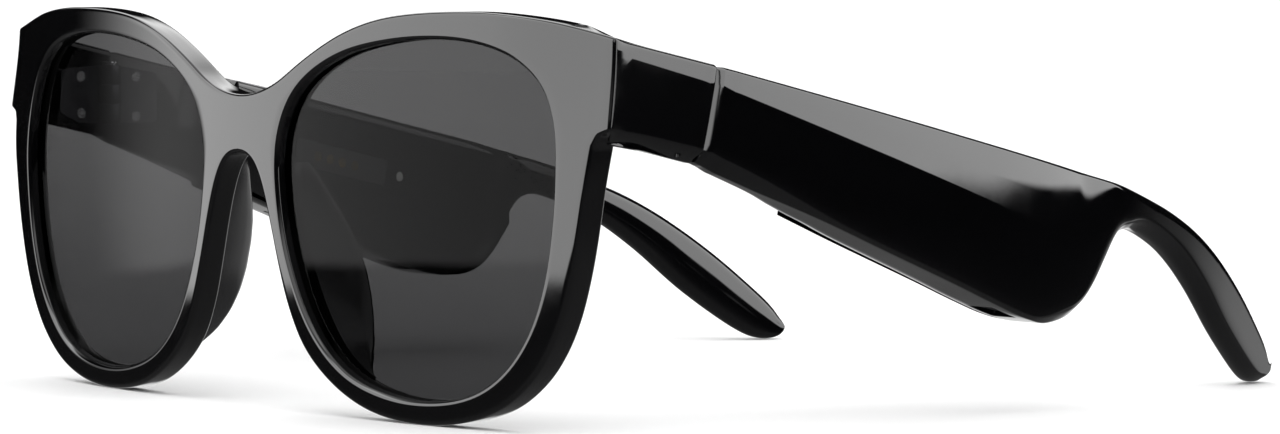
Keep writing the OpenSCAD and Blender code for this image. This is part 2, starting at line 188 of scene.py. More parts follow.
w = np.ones(2 * kk + 1) / (2 * kk + 1)
pad = np.concatenate([np.repeat(outer_n[:1], kk, 0), outer_n, np.repeat(outer_n[-1:], kk, 0)])
outer_n = np.stack([np.convolve(pad[:, i], w, "valid") for i in range(2)], -1)
outer_n /= np.linalg.norm(outer_n, axis=1)[:, None]
outer_n[0], outer_n[-1] = (0, 1), (0, -1)
open_n = normals(opening, True)

# ------------------------------------------------------------------ stations round the rim
anchors = [((0, 19.9), (10.7, 18.4), 0), ((8.4, 22.2), (13.6, 21.9), 9), ((17, 27.2), (19.4, 25.1), 10), ((28, 30.9), (29, 27.5), 12),
           ((42, 31.9), (41.4, 28.2), 14), ((57, 30.4), (52, 26.6), 14), ((63.5, 29.4), (55.6, 25), 8), (tuple(fA[0]), (57.6, 23.5), 6),
           (tuple(fA[-1]), (58.6, 22.4), 8), (tuple(fB[0]), (61.6, 16.6), 10), (tuple(fB[-1]), (61.9, 15), 6),
           (tuple(step[-1]), (62.1, 12.6), 8), ((65.4, 6.6), (61.9, 4.8), 10), ((62.6, -4), (59.9, -5.2), 12), ((57.4, -13.6), (55.4, -13.4), 12),
           ((48, -21.3), (46.4, -20.2), 12), ((35.6, -24.6), (35.6, -21.6), 12), ((23.8, -21.9), (25, -18.9), 12), ((14.2, -14.4), (16.6, -12.8), 12),
           ((9.2, -3.2), (11.3, -3.8), 11), ((5.6, 6.8), (8.7, 6.2), 10), ((3.7, 10.2), (8.55, 9.4), 6), ((0, 11.8), (8.7, 12.6), 8)]
So = arclen(outer)
Si = arclen(np.concatenate([opening, opening[:1]]))
TI = Si[-1]


def near(P, p):
    return int(np.argmin(((P - np.asarray(p, float)) ** 2).sum(1)))


st_out, st_in, fixed = [], [], {}
prev = None
base_in = None
for k, (po, pi, n) in enumerate(anchors):
    so, si = So[near(outer, po)], Si[near(opening, pi)]
    if k == 0:
        so, base_in = 0.0, si
    if k == len(anchors) - 1:
        so = So[-1]
    si = (si - base_in) % TI
    if prev is not None:
        for j in range(1, n + 1):
            st_out.append(prev[0] + (so - prev[0]) * j / n)
            st_in.append(prev[1] + (si - prev[1]) * j / n)
    else:
        st_out.append(so)
        st_in.append(si)
    fixed[k] = len(st_out) - 1
    prev = (so, si)
n_real = len(st_out)
NB = 7   # stations along the middle of the bridge
for j in range(1, NB + 1):
    st_in.append(prev[1] + (TI - prev[1]) * j / (NB + 1))
st_in = (np.array(st_in) + base_in) % TI
st_out = np.array(st_out)


def sample(P, S, t, closed=False):
    Q = np.concatenate([P, P[:1]]) if closed else P
    return np.stack([np.interp(t, S, Q[:, i]) for i in range(2)], -1)


I2 = sample(opening, Si, st_in, True)
M2 = sample(open_n, Si, st_in, True)
M2 /= np.linalg.norm(M2, axis=1)[:, None]
O2 = sample(outer, So, st_out)
N2 = sample(outer_n, So, st_out)
N2 /= np.linalg.norm(N2, axis=1)[:, None]
NS = len(I2)

R_F, R_B = 0.55, 0.6
K = 7
z_top, z_bot = outer[0, 1], outer[-1, 1]


# ------------------------------------------------------------------ mesh helpers
def make_obj(name, verts, faces, mat, sharp=38.0, smooth=True):
    me = bpy.data.meshes.new(name)
    me.from_pydata([tuple(v) for v in verts], [], faces)
    me.update()
    ob = bpy.data.objects.new(name, me)
    bpy.context.scene.collection.objects.link(ob)
    bm = bmesh.new()
    bm.from_mesh(me)
    bmesh.ops.remove_doubles(bm, verts=bm.verts, dist=2e-7)
    bmesh.ops.dissolve_degenerate(bm, edges=bm.edges, dist=1e-7)
    bmesh.ops.recalc_face_normals(bm, faces=bm.faces)
    for f in bm.faces:
        f.smooth = smooth
    lim = math.radians(sharp)
    for e in bm.edges:
        if len(e.link_faces) == 2:
            e.smooth = e.calc_face_angle(0.0) < lim
    bm.to_mesh(me)
    bm.free()
    if mat is not None:
        me.materials.append(mat)
    return ob


def mirrored(verts, faces):
    V = np.array(verts, float).copy()
    V[:, 0] *= -1
    return V, [tuple(reversed(f)) for f in faces]


def smooth01(t):
    t = np.clip(t, 0, 1)
    return t * t * (3 - 2 * t)


CH_H, CH_W = 1.9, 2.3        # the long chamfer under the arms; it runs out along the temples
CREASE_R = 0.28              # half of the blend at the crease of the outer face


def crease(u):
    """distance of the crease below the top edge: it drops towards the ear hook."""
    return float(np.interp(u, [0.0, SEAM_U, 97.0], [1.5, 2.5, 10.5]))


def crown_x(e, L, w, tilt=0.098, low=0.3):
    """how far the outer face falls back at a distance e below its top edge: a shallow facet above the crease w, and a slight crown below."""
    d = w - e
    top = tilt * d if d > CREASE_R else (tilt * (d + CREASE_R) ** 2 / (4 * CREASE_R) if d > -CREASE_R else 0.0)
    return top + low * max(0.0, (e / L - 0.5) / 0.5) ** 2


def face_rows(e0, e1, w, n):
    """n positions down the outer face between e0 and e1, with four of them at the crease."""
    w = min(max(w, e0 + 0.5), e1 - 1.2)
    k = [w - CREASE_R, w - 0.35 * CREASE_R, w + 0.35 * CREASE_R, w + CREASE_R]
    a = 1
    up = [e0 + (k[0] - e0) * (j + 1) / (a + 1) for j in range(a)]
    m = n - 4 - a
    dn = [k[3] + (e1 - k[3]) * (j + 1) / (m + 1) for j in range(m)]
    return up + k + dn


# ------------------------------------------------------------------ front frame
def build_front(mat):
    """both rims, the bridge and the side arms as one closed skin."""
    prof = []      # (kind, a, b): where a profile point sits between the opening and the outside
    prof += [("in", 0.0, 1.62), ("in", 0.0, 0.62), ("in", 0.03, 0.49), ("in", 0.09, 0.39), ("in", 0.34, 0.08), ("in", 0.42, 0.02)]
    prof += [("face", k / K, 0.0) for k in range(0, K + 1)]
    nf = len(prof) - 1
    prof += [("rf", a, 0.0) for a in np.linspace(0, 90, 6)[1:]]
    prof += [("wall", 0.33, 0), ("wall", 0.66, 0)]
    prof += [("rb", a, 0.0) for a in np.linspace(90, 0, 5)]
    nb = len(prof) - 1
    prof += [("back", k / K, 0.0) for k in range(1, K + 1)]
    prof += [("in", 0.35, RIM_D - 0.04), ("in", 0.1, RIM_D - 0.2), ("in", 0.0, RIM_D - 0.5), ("in", 0.0, 3.22), ("in", 0.93, 3.2), ("in", 0.93, 1.64)]
    J = len(prof)
    ids = -np.ones((NS, J), int)
    V = []
    for i in range(NS):
        real = i < n_real
        if real:
            o, n = O2[i], N2[i]
            fo, bo = o - n * R_F, o - n * R_B
        else:
            t = (i - n_real + 1) / (NB + 1)
            fo = np.array([0.0, (z_bot + R_F) + (z_top - R_F - z_bot - R_F) * t])
            bo = np.array([0.0, (z_bot + R_B) + (z_top - R_B - z_bot - R_B) * t])
        fi = I2[i] + M2[i] * 0.5
        bi = I2[i] + M2[i] * 0.62
        for j, (kind, a, b) in enumerate(prof):
            if kind == "in":
                p, d = I2[i] + M2[i] * a, b
            elif kind == "face":
                p, d = fi + (fo - fi) * a, 0.0
            elif kind == "rf":
                if not real:
                    continue
                th = math.radians(a)
                p, d = o - n * R_F * (1 - math.sin(th)), R_F * (1 - math.cos(th))
            elif kind == "wall":
                if not real:
                    continue
                p, d = o, R_F + (RIM_D - R_F - R_B) * a
            elif kind == "rb":
                if not real and a > 0:
                    continue
                th = math.radians(a)
                if real:
                    p, d = o - n * R_B * (1 - math.sin(th)), RIM_D - R_B * (1 - math.cos(th))
                else:
                    p, d = bo, RIM_D
            elif kind == "back":
                p, d = bo + (bi - bo) * a, RIM_D
            ids[i, j] = len(V)
            V.append((p[0], float(face_y(p[0], p[1])) + d, p[1]))
    # the side arm replaces the outer wall and part of the back between two stations
    a0 = int(np.argmin(np.abs(O2[:n_real, 0] - 61.5) + 10 * (O2[:n_real, 1] < 25)))
    a1 = fixed[11]
    j_w = nf + 5          # end of the front edge round
    kb = nb + 4           # last back column taken by the arm

    def taken(i, j):
        return a0 <= i < a1 and j_w <= j < kb

    F = []
    for i in range(NS):
        i2 = (i + 1) % NS
        for j in range(J):
            j2 = (j + 1) % J
            q = [ids[i, j], ids[i2, j], ids[i2, j2], ids[i, j2]]
            if min(q) < 0:
                # the wall columns end where the middle of the bridge starts
                continue
            if taken(i, j):
                continue
            F.append(tuple(q))
    # no faces are built from the bridge's stations over the missing columns: front edge to back edge is open at x = 0
    V = np.array(V)
    # loop of the arm, on the skin
    loop, tag = [], []
    for i in range(a0, a1 + 1):
        loop.append(ids[i, j_w])
        tag.append(("out", i))
    for j in range(j_w + 1, kb + 1):
        loop.append(ids[a1, j])
        tag.append(("endb", j))
    for i in range(a1 - 1, a0 - 1, -1):
        loop.append(ids[i, kb])
        tag.append(("col", i))
    for j in range(kb - 1, j_w, -1):
        loop.append(ids[a0, j])
        tag.append(("endt", j))
    base = f2t(V[loop])
    iA0, iA1, iB0, iB1 = fixed[7], fixed[8], fixed[9], fixed[10]

    def xo(u):
        return np.interp(u, [3, SEAM_U], [68.3, 71.0])

    def vb(u):
        return np.interp(u, [2, 7, 12, SEAM_U], [-13.95, -13.8, -13.55, -13.55])

    rc = dict(to=0.75, bi=1.0, ti=0.9)
    XI = 66.6

    def target(tg, u):
        k, q = tg
        x1, v0, v1 = float(xo(u)), 0.0, float(vb(u))
        if k == "out":
            if q <= iA0:
                f = (q - a0) / max(1, iA0 - a0)
                return XI + rc["ti"] + f * (x1 - rc["to"] - XI - rc["ti"]), v0
            if q <= iA1:
                th = math.radians(90 * (q - iA0) / (iA1 - iA0))
                xc = x1 - crown_x(rc["to"], v0 - v1, crease(u))
                return xc - rc["to"] * (1 - math.sin(th)), v0 - rc["to"] * (1 - math.cos(th))
            rows_end = v0 - v1 - CH_H - 0.3
            x1 -= crown_x(rows_end, v0 - v1, crease(u))
            pts = [(x1, v1 + CH_H + 0.3), (x1 - 0.012, v1 + CH_H + 0.06), (x1 - 0.09, v1 + CH_H - 0.1), (x1 - CH_W / 2, v1 + CH_H / 2), (x1 - CH_W + 0.14, v1 + 0.09),
                   (x1 - CH_W - 0.06, v1), (x1 - CH_W - 0.3, v1)]
            if q <= iB0:
                rows = [rc["to"]] + face_rows(rc["to"], v0 - pts[0][1], crease(u), iB0 - iA1 - 1) + [v0 - pts[0][1]]
                e = rows[q - iA1]
                return x1 + crown_x(rows_end, v0 - v1, crease(u)) - crown_x(e, v0 - v1, crease(u)), v0 - e
            if q <= iB1:
                f = (q - iB0) / (iB1 - iB0) * 6
                j = min(5, int(f))
                f -= j
                return pts[j][0] * (1 - f) + pts[j + 1][0] * f, pts[j][1] * (1 - f) + pts[j + 1][1] * f
            f = (q - iB1) / (a1 - iB1)
            return pts[-1][0] + f * (XI + 1.6 - pts[-1][0]), v1
        if k == "endb":
            f = (q - j_w) / (kb - j_w)
            # along the bottom, round the corner and up a little
            s = f * (1.6 - rc["bi"] + rc["bi"] * math.pi / 2 + 1.2)
            s1 = 1.6 - rc["bi"]
            if s < s1:
                return XI + 1.6 - s, v1
            if s < s1 + rc["bi"] * math.pi / 2:
                th = (s - s1) / rc["bi"]
                return XI + rc["bi"] * (1 - math.sin(th)), v1 + rc["bi"] * (1 - math.cos(th))
            return XI, v1 + rc["bi"] + (s - s1 - rc["bi"] * math.pi / 2)
        if k == "col":
            f = (a1 - q) / (a1 - a0)
            lo, hi = v1 + rc["bi"] + 1.2, v0 - rc["ti"] - 1.0
            return XI, lo + f * (hi - lo)
        f = (kb - q) / (kb - j_w)
        s = f * (1.0 + rc["ti"] * math.pi / 2)
        if s < 1.0:
            return XI, v0 - rc["ti"] - 1.0 + s
        th = (s - 1.0) / rc["ti"]
        return XI + rc["ti"] * (1 - math.cos(th)), v0 - rc["ti"] * (1 - math.sin(th))

    edge = np.array([base[q - a0] for q in range(iB0, iA1 - 1, -1)])      # the corner, from its foot up
    bx, bu, bv = edge[:, 0], edge[:, 1], edge[:, 2]
    rings = [list(loop)]
    taus = [0.03, 0.07, 0.12, 0.18, 0.25, 0.33, 0.42, 0.53, 0.65, 0.77, 0.88, 0.945]
    VV = [tuple(p) for p in V]
    n_loop = len(loop)
    side = np.array([0 if t[0] == "out" else 1 for t in tag])

    def add_ring(pts):
        r = []
        for p in pts:
            VV.append(tuple(t2f(np.array(p))))
            r.append(len(VV) - 1)
        rings.append(r)

    for t in taus:
        pts = []
        for m in range(n_loop):
            x0, u0, v0 = base[m]
            u = u0 + t * (SEAM_U - u0)
            tx, tv = target(tag[m], u)
            w = smooth01(t / 0.42) if side[m] == 0 else smooth01(t / 0.36)
            if tag[m][0] == "out" and iA0 <= tag[m][1] <= iB1:
                # the outer face runs straight from the corner to the seam; only the crease is worked in
                w = smooth01(t / 0.13)
                vn = v0 + (tv - v0) * w
                xk, uk = np.interp(vn, bv, bx), np.interp(vn, bv, bu)
                flat = xk + (float(xo(SEAM_U)) - xk) * (u - uk) / (SEAM_U - uk)
                tx += flat - float(xo(u))
                if iA1 <= tag[m][1] <= iB0:
                    pts.append((flat + (tx - flat) * w, u, vn))
                else:
                    pts.append((x0 + (tx - x0) * w, u, vn))
                continue
            pts.append((x0 + (tx - x0) * w, u, v0 + (tv - v0) * w))
        add_ring(pts)
    # seam: a soft round and a flat end
    cx, cv = (71 + XI) / 2, -6.8
    for du, inset in ((0.3, 0.0), (0.14, 0.01), (0.05, 0.05), (0.0, 0.12)):
        pts = []
        for m in range(n_loop):
            tx, tv = target(tag[m], SEAM_U)
            hx, hv = 2.2, 6.75
            ex = (tx - cx) / hx
            ev = (tv - cv) / hv
            pts.append((tx - inset * np.sign(ex) * min(1, abs(ex) ** 3), SEAM_U - du, tv - inset * np.sign(ev) * min(1, abs(ev) ** 6)))
        add_ring(pts)
    for r0, r1 in zip(rings[:-1], rings[1:]):
        for m in range(n_loop):
            m2 = (m + 1) % n_loop
            F.append((r0[m], r0[m2], r1[m2], r1[m]))
    F.append(tuple(rings[-1]))
    V = row(np.array(VV))
    V2, F2 = mirrored(V, F)
    allV = np.concatenate([V, V2])
    allF = F + [tuple(i + len(V) for i in f) for f in F2]
    return make_obj("front_shell", allV, allF, mat, sharp=34)


# ------------------------------------------------------------------ temples
top_edge = open_curve([(SEAM_U + 0.1, 0), (40, 0), (60, 0), (80, 0), (97, 0), (107, -0.05), (116, -0.45), (124, -1.35), (132, -2.95), (140, -5.5),
                       (148.5, -9.1), (156, -13.0), (160.6, -15.7), (162.6, -17.6), (163.15, -19.3)], 1.3, 900)
low_edge = open_curve([(SEAM_U + 0.1, -13.6), (38.6, -16.0), (55, -18.5), (72, -20.9), (80, -22.1), (87.5, -23.0), (93.8, -22.85), (99.0, -21.0), (102.1, -17.7),
                       (104.4, -13.2), (106.7, -8.4), (108.8, -6.3), (112.5, -5.5), (119, -6.2), (126, -8.0), (134, -11.4), (143, -16.2), (151.8, -20.0),
                       (157.4, -21.8), (160.8, -21.8), (162.7, -20.7), (163.15, -19.3)], 0.9, 1300)
pl_u = np.array([20.6, 30, 40, 52, 64, 80, 90, 98, 106, 116, 130, 140, 150, 158, 164.5])
pl_o = np.array([71.0, 71.7, 72.3, 72.8, 73.0, 73.0, 72.6, 71.8, 70.6, 68.6, 65.6, 63.2, 60.5, 58.2, 56.3])
pi_u = np.array([20.6, 31.6, 34.6, 38.4, 43, 48, 52, 70, 92, 97, 102, 107, 113, 122, 130, 140, 150, 158, 164.5])
pi_x = np.array([66.6, 66.6, 66.3, 65.0, 62.6, 61.3, 61.0, 61.0, 61.0, 61.7, 63.2, 64.3, 64.0, 62.6, 60.9, 58.6, 56.0, 53.8, 52.2])


def table_fn(u, x, sigma):
    g = np.linspace(u[0], u[-1], 600)
    y = np.interp(g, u, x)
    h = g[1] - g[0]
    k = int(4 * sigma / h)
    w = np.exp(-0.5 * (np.arange(-k, k + 1) * h / sigma) ** 2)
    w /= w.sum()
    Q = np.concatenate([2 * y[0] - y[k:0:-1], y, 2 * y[-1] - y[-2:-k - 2:-1]])
    y2 = np.convolve(Q, w, "valid")
    return lambda q: np.interp(q, g, y2)


X_out = table_fn(pl_u, pl_o, 3.5)
X_in = table_fn(pi_u, pi_x, 1.1)

t_anchor = [((20.6, 0), (20.6, -13.6), 0), ((30, 0), (30, -15.1), 8), ((60, 0), (60, -19.4), 16), ((84, 0), (84, -22.6), 12), ((91, -0.0), (92.2, -22.95), 8),
            ((95.5, 0), (98.1, -21.5), 8), ((98.6, 0), (101.9, -18.1), 8), ((101.5, 0), (104.4, -13.2), 8), ((104.6, 0), (106.7, -8.4), 8),
            ((108.2, -0.1), (109.4, -6.1), 7), ((116, -0.45), (115.6, -5.7), 8), ((124, -1.35), (122.6, -7.0), 8), ((132, -2.95), (129.6, -9.4), 8), ((140, -5.5), (137.2, -13.0), 8),
            ((148.5, -9.1), (145.4, -17.3), 8), ((156, -13.0), (152.8, -20.4), 8), ((160.6, -15.7), (157.6, -21.8), 7), ((162.1, -17.0), (160.4, -21.85), 4),
            ((162.9, -18.3), (162.2, -21.1), 4), ((163.13, -19.0), (163.05, -19.8), 3)]
St, Sl = arclen(top_edge), arclen(low_edge)
tt, tl = [], []
for k, (a, b, n) in enumerate(t_anchor):
    sa, sb = St[near(top_edge, a)], Sl[near(low_edge, b)]
    if k == 0:
        sa = sb = 0.0
        tt.append(sa)
        tl.append(sb)
    else:
        for j in range(1, n + 1):
            tt.append(pa + (sa - pa) * j / n)
            tl.append(pb + (sb - pb) * j / n)
    pa, pb = sa, sb


def ease_track(t):
    """softens the spacing of the stations a little, so that the mesh flows."""
    t = np.array(t)
    q = np.convolve(np.concatenate([np.repeat(2 * t[:1] - t[3:0:-1], 1), t, 2 * t[-1] - t[-2:-5:-1]]), np.ones(7) / 7, "valid")
    q[0], q[-1] = t[0], t[-1]
    return q


tt, tl = ease_track(tt), ease_track(tl)
T2 = sample(top_edge, St, tt)
L2 = sample(low_edge, Sl, tl)
NT = len(T2)
G = 0.06      # half of the gap at the parting line


def temple_section(k):
    """closed loop of points (x, u, v) of station k: outer face down, chamfer, underside, inner face up, top."""
    a, b = T2[k], L2[k]
    L = float(np.linalg.norm(b - a)) + 1e-6
    um = (a[0] + b[0]) / 2
    th = float(X_out(um)) - float(X_in(um))
    box = float(smooth01((um - 36) / 12) * (1 - smooth01((um - 99) / 10)))
    hook = float(smooth01((um - 103) / 14))
    heel = float(smooth01((um - 88) / 8) * (1 - smooth01((um - 104) / 6)))
    fade = 1 - float(smooth01((um - 23) / 27))
    lean = 1.9 * box * (1 - float(smooth01((um - 50) / 32)))
    small = min(1.0, L / 5.2)
    hc = min(0.5 + (CH_H - 0.5) * fade + 1.1 * hook + 1.3 * heel, 0.3 * L)
    wc = min(0.55 + (CH_W - 0.55) * fade + 1.5 * hook + 1.4 * heel, 0.34 * th)
    cap = min(L, th)
    r0 = min(0.6 + 1.1 * hook, 0.42 * cap) * small
    r1 = (0.3 + 1.0 * hook + 1.1 * heel) * small
    r2 = (0.4 + 1.3 * hook + 1.3 * heel) * small
    r3 = min(1.0 + 3.0 * box + 0.7 * hook, 0.4 * cap) * small
    r4 = min(0.9 + 0.6 * box + 0.9 * hook, 0.4 * cap) * small
    wr = crease(um) if um < 97 else 10.5 * (1 - float(smooth01((um - 97) / 11)))

    def uv(e):
        return a + (b - a) * (e / L)

    def xo(e):
        return float(X_out(uv(e)[0])) - crown_x(e, L, wr) * min(1.0, L / 12)

    def xi(e):
        f = e / L
        return float(X_in(uv(e)[0])) + (0.3 * (1 - box) + 0.25 * hook) * min(1.0, L / 8) * (2 * f - 1) ** 2 + lean * max(0.0, f - 0.4) ** 2 / 0.36

    c0, c1, c2 = (xo(0), 0.0), (xo(L - hc), L - hc), (xo(L) - wc, L)
    c3, c4 = (xi(L), L), (xi(0), 0.0)
    s1 = min(1.2, 0.2 * L)
    loop = []
    f0 = fillet(c4, c0, (xo(s1), s1), r0, 8)
    f1 = fillet((xo(L - hc - s1), L - hc - s1), c1, c2, r1, 6)
    f2 = fillet(c1, c2, c3, r2, 6)
    f3 = fillet(c2, c3, (xi(L - s1), L - s1), r3, 8)
    f4 = fillet((xi(s1), s1), c4, c0, r4, 8)
    loop += [tuple(q) for q in f0]
    loop += [(xo(e), e) for e in face_rows(f0[-1][1], f1[0][1], wr, 11)]
    loop += [tuple(q) for q in f1]
    loop.append(tuple((f1[-1] + f2[0]) / 2))
    loop += [tuple(q) for q in f2]
    under = [tuple(f2[-1] + (f3[0] - f2[-1]) * t) for t in np.linspace(0, 1, 7)[1:-1]]
    over = [tuple(f4[-1] + (f0[0] - f4[-1]) * t) for t in np.linspace(0, 1, 7)[1:-1]]
    loop += under
    loop += [tuple(q) for q in f3]
    loop += [(xi(e), e) for e in np.linspace(f3[-1][1], f4[0][1], 12)[1:-1]]
    loop += [tuple(q) for q in f4]
    loop += over
    loop = [list(q) for q in loop]
    for j in range(len(loop)):      # a column sits on the parting plane, so that the line is straight
        p, q = loop[j], loop[(j + 1) % len(loop)]
        if (p[0] - PART_X) * (q[0] - PART_X) < 0:
            f = (PART_X - p[0]) / (q[0] - p[0])
            e = p[1] + (q[1] - p[1]) * f
            m = p if f < 0.5 else q
            m[0], m[1] = PART_X, e
    return np.array([(x, *uv(e)) for x, e in loop])


SEC = np.array([temple_section(k) for k in range(NT)])      # NT x M x 3
# soft chamfer at the seam
cx, cv = 68.8, -6.8
M_ = SEC.shape[1]


def seam_rings():
    """rings in front of the first station: a flat bevelled band that runs round the seam."""
    base = SEC[0]
    out = []
    for du, ins in ((0.0, 0.52), (0.02, 0.41), (0.06, 0.385), (1.42, 0.012), (1.5, 0.0), (1.56, 0.0)):
        q = base.copy()
        q[:, 1] = SEAM_U + 0.1 + du
        ex, ev = (q[:, 0] - cx) / 2.1, (q[:, 2] - cv) / 6.8
        q[:, 0] -= ins * np.sign(ex) * np.minimum(1, np.abs(ex) ** 3) * np.where(ex > 0, 1, 0.25)
        q[:, 2] -= 0.6 * ins * np.sign(ev) * np.minimum(1, np.abs(ev) ** 8)
        out.append(q)
    return out


def temple_mesh(kind):
    """kind shell, cover or both, on the +X side; returns verts (x, u, v) and faces."""
    secs = seam_rings() + [SEC[k] for k in range(3, NT)] if kind != "cover" else [SEC[k] for k in range(NT)]
    R = np.array(secs)
    R = R.copy()
    zone = (R[..., 1] > 37.0) & (R[..., 1] < 105.5)
    if kind == "shell":
        m = zone & (R[..., 0] < PART_X + G)
        lid = m & (R[..., 0] < PART_X - 0.02)
        R[..., 0] = np.where(m, PART_X + G, R[..., 0])
    elif kind == "cover":
        m = R[..., 0] > PART_X - G
        lid = R[..., 0] > PART_X + 0.02
        R[..., 0] = np.where(m, PART_X - G, R[..., 0])
    # the lid's edge draws in a little: the parting groove
    mid = R.mean(1)
    if kind in ("shell", "cover"):
        d = R - mid[:, None, :]
        d[..., 0] = 0
        n = np.linalg.norm(d, axis=-1, keepdims=True) + 1e-9
        R = np.where(lid[..., None], R - d / n * np.minimum(0.14, n * 0.2), R)
    V, F = [], []
    n, M = R.shape[:2]
    if kind == "cover":
        # only the stretch where the inner face passes the parting plane
        has = (R[..., 0].min(1) < PART_X - G - 0.02) & (R[..., 1].mean(1) > 36) & (R[..., 1].mean(1) < 108)
        idx = np.where(has)[0]
        R = R[idx[0]:idx[-1] + 1]
        n = len(R)
    V = R.reshape(-1, 3)
    for i in range(n - 1):
        for j in range(M):
            j2 = (j + 1) % M
            F.append((i * M + j, i * M + j2, (i + 1) * M + j2, (i + 1) * M + j))
    F.append(tuple(range(M - 1, -1, -1)))
    F.append(tuple((n - 1) * M + j for j in range(M)))
    return V, F


def build_temple(side, kind, mat):
    V, F = temple_mesh(kind)
    W = t2f(V)
    if side < 0:
        W = W.copy()
        W[:, 0] *= -1
        F = [tuple(reversed(f)) for f in F]
    return make_obj(f"{'left' if side > 0 else 'right'}_{kind}_skin", row(W), F, mat, sharp=32)


# ------------------------------------------------------------------ lenses
def build_lens(side, mat):
    c = np.array([35.4, 3.3])
    n_r, n_b = 26, 180
    bidx = (np.arange(n_b) * len(opening) / n_b).astype(int)
    bd = opening[bidx] + open_n[bidx] * 0.85
    V, F = [], []
    rings = [(np.sin(0.5 * np.pi * k / n_r)) for k in range(1, n_r + 1)]
    for back in (0, 1):
        off = len(V)
        base = 1.66 if not back else 1.66 + 1.48
        V.append((c[0], float(face_y(*c)) + base - 0.55, c[1]))
        for t in rings:
            for p in bd:
                q = c + (p - c) * t
                V.append((q[0], float(face_y(q[0], q[1])) + base - 0.55 * (1 - t * t), q[1]))
        for j in range(n_b):
            j2 = (j + 1) % n_b
            f = (off, off + 1 + j, off + 1 + j2)
            F.append(f if back else tuple(reversed(f)))
        for k in range(n_r - 1):
            for j in range(n_b):
                j2 = (j + 1) % n_b
                a = off + 1 + k * n_b
                f = (a + j, a + n_b + j, a + n_b + j2, a + j2)
                F.append(f if back else tuple(reversed(f)))
        if not back:
            e0 = off + 1 + (n_r - 1) * n_b
        else:
            e1 = off + 1 + (n_r - 1) * n_b
    for j in range(n_b):
        j2 = (j + 1) % n_b
        F.append((e0 + j, e0 + j2, e1 + j2, e1 + j))
    V = np.array(V)
    V[:, 0] *= side
    if side < 0:
        F = [tuple(reversed(f)) for f in F]
    return make_obj(f"{'left' if side > 0 else 'right'}_lens_tinted", row(V), F, mat, sharp=50)


# ------------------------------------------------------------------ nose pads
def build_pad(side, mat):
    """a moulded pad behind the nasal side of the rim: a squared shelf on top, deepest in the middle, running out at the bottom."""
    nose = open_curve([(4.75, 10.5), (6.05, 6.9), (7.6, 2.2), (9.3, -2.8), (11.3, -8.4), (13.9, -13.0), (17.1, -16.3), (20.4, -18.7), (22.6, -19.9)], 1.5, 300)
    lens_e = open_curve([(8.7, 10.5), (9.3, 6.6), (10.6, 2.0), (12.5, -3.2), (15.0, -8.8), (17.8, -13.4), (20.4, -16.3), (23.2, -18.2), (24.8, -19.0)], 1.5, 300)
    depth_z = [11.5, 10.0, 7.2, 4.2, 1.2, -1.8, -5.5, -8.8, -11.8, -14.8, -17.4, -19.2, -20.6]
    depth_y = [7.1, 7.35, 8.6, 10.1, 11.15, 11.75, 11.95, 11.65, 11.0, 9.85, 8.0, 6.0, 4.2]
    n = 46
    V, F = [], []
    for i in range(n):
        t = i / (n - 1)
        a = nose[int(t * 299)]
        b = lens_e[int(t * 299)]
        yb = float(np.interp(a[1], depth_z[::-1], depth_y[::-1]))
        if i < 4:
            yb -= (0.7, 0.3, 0.1, 0.02)[i]
        y0 = float(face_y(a[0], a[1])) + 3.7
        hgt = max(0.25, yb - y0)
        width = float(np.linalg.norm(b - a))
        rr = min(1.25, hgt * 0.45, width * 0.42)
        sk = math.tan(math.radians(20))
        sec = [(0.0, 0.0), (0.0, hgt * 0.35), (0.0, hgt * 0.65)]
        for q in np.linspace(0, 90, 7):
            th = math.radians(q)
            sec.append((rr * (1 - math.cos(th)) / width, hgt - rr + rr * math.sin(th)))
        for q in np.linspace(0, 90, 7):
            th = math.radians(q)
            sec.append((1 - rr * (1 - math.sin(th)) / width, hgt - rr + rr * math.cos(th)))
        sec += [(1.0, hgt * 0.65), (1.0, hgt * 0.35), (1.0, 0.0)]
        pinch = (0.14, 0.045, 0.01, 0.0)[i] if i < 4 else 0.0
        for w, d in sec:
            w = w + pinch * (0.5 - w)
            p = a + (b - a) * w
            shift = max(0.0, d - 0.5) * sk
            V.append((p[0] + shift * 0.92, y0 + d, p[1] - shift * 0.12))
    M = len(V) // n
    for i in range(n - 1):
        for j in range(M):
            j2 = (j + 1) % M
            F.append((i * M + j, i * M + j2, (i + 1) * M + j2, (i + 1) * M + j))
    F.append(tuple(range(M)))
    F.append(tuple(reversed([(n - 1) * M + j for j in range(M)])))
    V = np.array(V)
    V[:, 0] *= side
    if side < 0:
        F = [tuple(reversed(f)) for f in F]
    return make_obj(f"{'left' if side > 0 else 'right'}_nose_pad_skin", row(V), F, mat, sharp=50)


# ------------------------------------------------------------------ openings cut into the skins
def rounded_rect(a0, a1, b0, b1, r, n=5):
    out = []
    for (ca, cb, t0) in ((a1 - r, b1 - r, 0), (a0 + r, b1 - r, 90), (a0 + r, b0 + r, 180), (a1 - r, b0 + r, 270)):
        for q in range(n):
            t = math.radians(t0 + 90 * q / (n - 1))
            out.append((ca + r * math.cos(t), cb + r * math.sin(t)))
    return out


def pill_outline(l, w, n=14):
    """(x, u) outline of a round-ended slot along u."""
    out = []
    for q in range(n):
        t = math.pi * q / (n - 1)
        out.append((w / 2 * math.cos(t), (l - w) / 2 + w / 2 * math.sin(t)))
    for q in range(n):
        t = math.pi + math.pi * q / (n - 1)
        out.append((w / 2 * math.cos(t), -(l - w) / 2 + w / 2 * math.sin(t)))
    return out


def prism(outline, lo, hi, along):
    """closed prism in the temple frame (x, u, v), along v, x or u."""
    n = len(outline)
    V = []
    for h in (lo, hi):
        for a, b in outline:
            V.append({"v": (a, b, h), "x": (h, a, b), "u": (a, h, b)}[along])
    F = [tuple(range(n))[::-1], tuple(range(n, 2 * n))]
    F += [(j, (j + 1) % n, n + (j + 1) % n, n + j) for j in range(n)]
    return V, F


